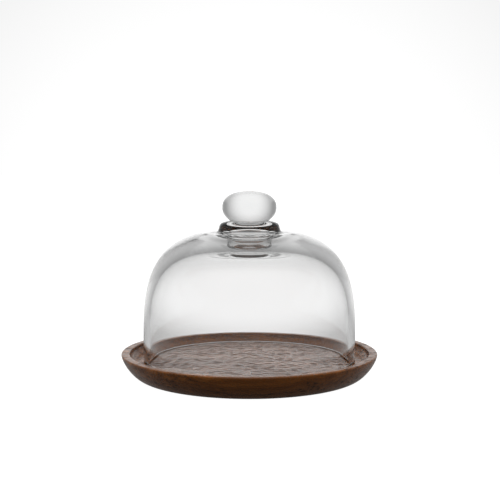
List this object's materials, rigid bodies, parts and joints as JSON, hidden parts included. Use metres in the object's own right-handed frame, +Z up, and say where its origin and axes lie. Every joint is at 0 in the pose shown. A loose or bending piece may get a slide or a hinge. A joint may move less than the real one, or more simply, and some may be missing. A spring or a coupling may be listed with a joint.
{
  "type": "cheese dome",
  "caption": "Round glass cheese dome with a solid glass ball knob, standing in the recess of a turned dark wooden plate.",
  "frame": {"origin": "on the surface that the plate stands on, at the common axis of plate and cover", "axes": "+Z up along the common axis of plate, bell and knob; X and Y are level and equivalent, with the wood's grain along X"},
  "size_m": [0.16, 0.16, 0.115],
  "materials": {
    "dark_wood": "dark walnut stain, oiled, satin, open pores",
    "clear_glass": "clear, fire polished",
    "knob_glass": "clear, solid, fire polished"
  },
  "bodies": {
    "plate": {"wooden_plate": "dark_wood"},
    "cover": {"glass_bell": "clear_glass", "knob_foot": "knob_glass", "knob_ball": "knob_glass"}
  },
  "joints": [
    {"name": "cover_lift", "type": "slide", "parent": "plate", "child": "cover", "axis": [0, 0, 1], "range_m": [0, 0.12]}
  ]
}
